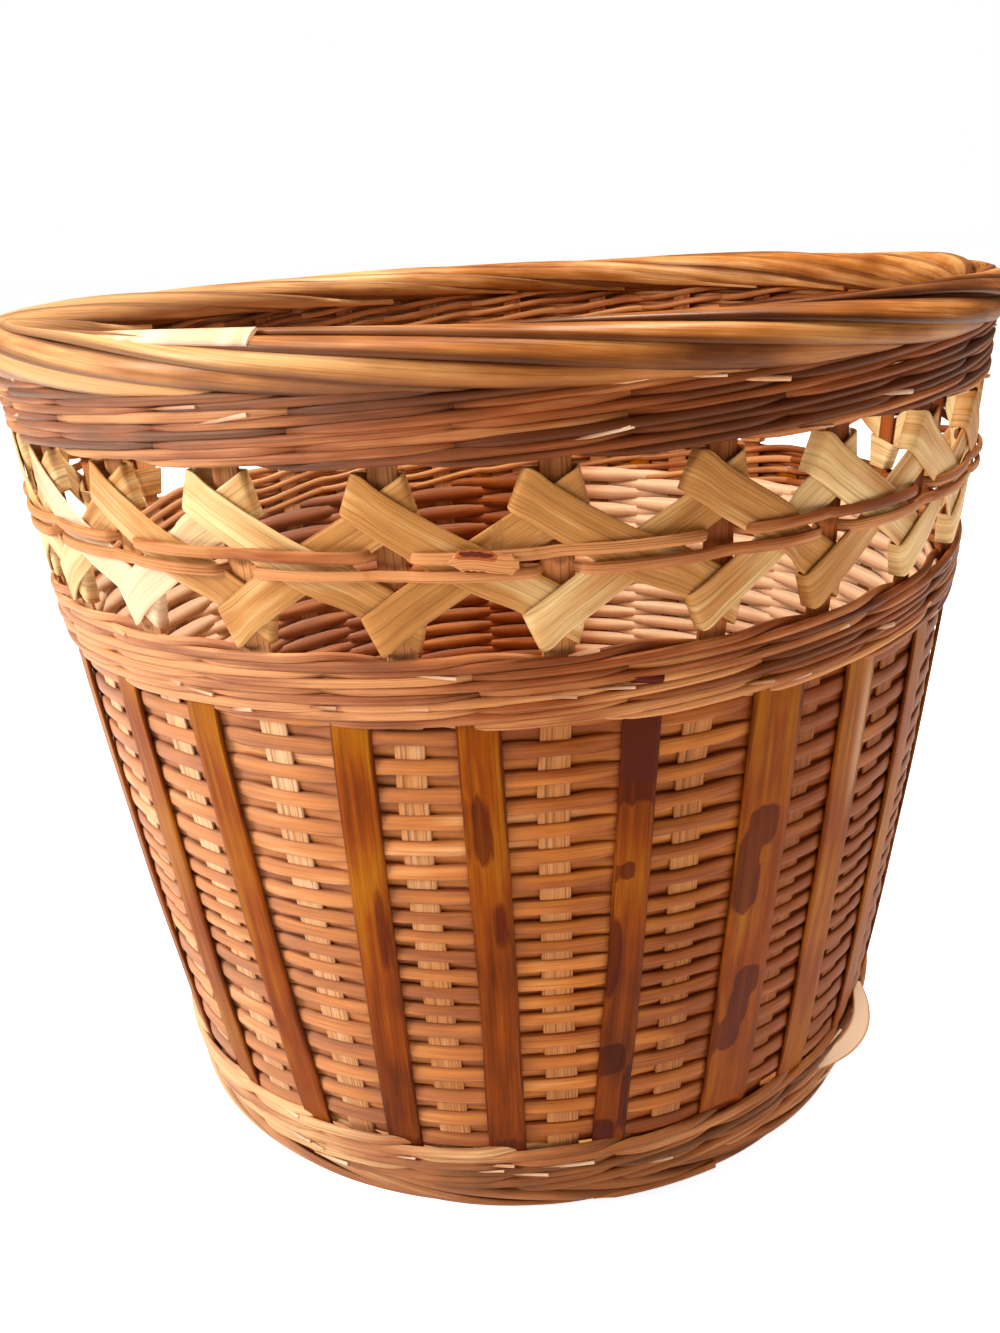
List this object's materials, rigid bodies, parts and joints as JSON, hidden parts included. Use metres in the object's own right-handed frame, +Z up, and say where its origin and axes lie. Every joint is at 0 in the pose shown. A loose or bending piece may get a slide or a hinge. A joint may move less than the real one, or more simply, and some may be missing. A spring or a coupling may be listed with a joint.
{
  "type": "woven bamboo planter",
  "caption": "Round tapered planter basket woven of bamboo reed on flat upright stakes, with a zigzag openwork band, rolled rim and flat foot; holds a flower pot.",
  "frame": {"origin": "on the ground, in the middle of the foot ring", "axes": "+Z up along the basket's axis; -Y is the front, where the first stake stands"},
  "size_m": [0.2492, 0.2499, 0.2107],
  "materials": {
    "stake_cane": "split bamboo, pale pith face",
    "overlay_cane": "split bamboo, glossy scorched skin",
    "wall_reed": "flat reed, satin",
    "band_reed": "thick reed, satin, stained",
    "foot_reed": "thick reed, worn",
    "pale_splint": "thin pale bamboo splint",
    "rim_cane": "flat varnished cane",
    "border_core": "raw cane",
    "floor_weave": "plain woven splints, matt"
  },
  "bodies": {
    "root": {"foot_hoop": "border_core", "base_mat": "floor_weave", "foot_wale": "foot_reed", "stake_01": "stake_cane", "stake_02": "stake_cane", "stake_03": "stake_cane", "stake_04": "stake_cane", "stake_05": "stake_cane", "stake_06": "stake_cane", "stake_07": "stake_cane", "stake_08": "stake_cane", "stake_09": "stake_cane", "stake_10": "stake_cane", "stake_11": "stake_cane", "stake_12": "stake_cane", "stake_13": "stake_cane", "stake_14": "stake_cane", "stake_15": "stake_cane", "stake_16": "stake_cane", "stake_17": "stake_cane", "stake_18": "stake_cane", "stake_19": "stake_cane", "stake_20": "stake_cane", "stake_21": "stake_cane", "stake_22": "stake_cane", "stake_23": "stake_cane", "stake_24": "stake_cane", "stake_25": "stake_cane", "wall_weaver": "wall_reed", "overlay_01": "overlay_cane", "overlay_02": "overlay_cane", "overlay_03": "overlay_cane", "overlay_04": "overlay_cane", "overlay_05": "overlay_cane", "overlay_06": "overlay_cane", "overlay_07": "overlay_cane", "overlay_08": "overlay_cane", "overlay_09": "overlay_cane", "overlay_10": "overlay_cane", "overlay_11": "overlay_cane", "overlay_12": "overlay_cane", "overlay_13": "overlay_cane", "overlay_14": "overlay_cane", "overlay_15": "overlay_cane", "overlay_16": "overlay_cane", "overlay_17": "overlay_cane", "overlay_18": "overlay_cane", "overlay_19": "overlay_cane", "overlay_20": "overlay_cane", "overlay_21": "overlay_cane", "overlay_22": "overlay_cane", "overlay_23": "overlay_cane", "overlay_24": "overlay_cane", "overlay_25": "overlay_cane", "lower_band_reed": "band_reed", "zigzag_splint": "pale_splint", "mid_reed": "band_reed", "upper_band_reed": "band_reed", "rim_core": "border_core", "rim_strand": "rim_cane"}
  },
  "joints": []
}
